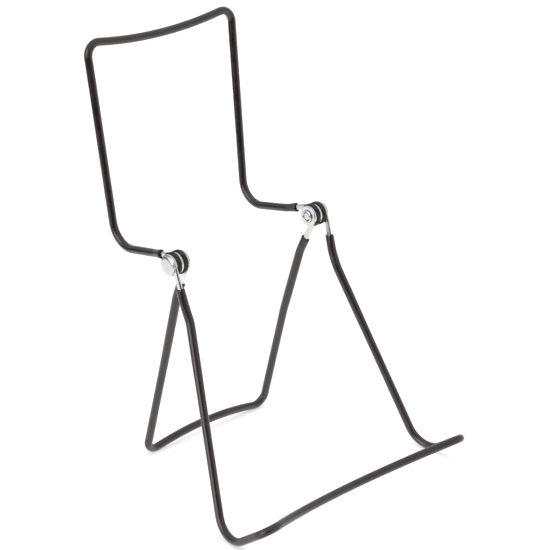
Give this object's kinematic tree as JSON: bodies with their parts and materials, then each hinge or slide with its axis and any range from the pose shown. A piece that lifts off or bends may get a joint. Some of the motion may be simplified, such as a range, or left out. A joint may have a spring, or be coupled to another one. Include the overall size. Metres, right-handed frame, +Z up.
{
  "type": "book display stand",
  "caption": "Folding book stand of three bent wire frames in black sleeves, hinged together on a friction rivet at each side.",
  "frame": {"origin": "on the table, under the middle of the stand's outline as seen from above", "axes": "+Z up, +Y to the rear, +X to the stand's left-hand side seen from the front, along the pivot axis"},
  "size_m": [0.183, 0.1968, 0.2774],
  "materials": {
    "plated_steel": "bright nickel plate",
    "rivet_steel": "bright zinc plate",
    "black_sleeve": "satin soft vinyl",
    "black_washer": "satin hard rubber"
  },
  "bodies": {
    "front_legs": {"front_leg_wire": "plated_steel", "front_leg_sleeve": "black_sleeve", "right_rivet": "rivet_steel", "left_rivet": "rivet_steel", "right_outer_washer": "black_washer", "left_outer_washer": "black_washer"},
    "back_rest": {"back_rest_wire": "plated_steel", "back_rest_sleeve": "black_sleeve", "right_inner_washer": "black_washer", "left_inner_washer": "black_washer"},
    "rear_legs": {"rear_leg_wire": "plated_steel", "rear_leg_sleeve": "black_sleeve"}
  },
  "joints": [
    {"name": "back_rest_tilt", "type": "hinge", "parent": "front_legs", "child": "back_rest", "pos_m": [0, 0.01561, 0.15283], "axis": [1, 0, 0], "range_deg": [-30, 163]},
    {"name": "rear_leg_swing", "type": "hinge", "parent": "front_legs", "child": "rear_legs", "pos_m": [0, 0.01561, 0.15283], "axis": [1, 0, 0], "range_deg": [-41, 22]}
  ]
}
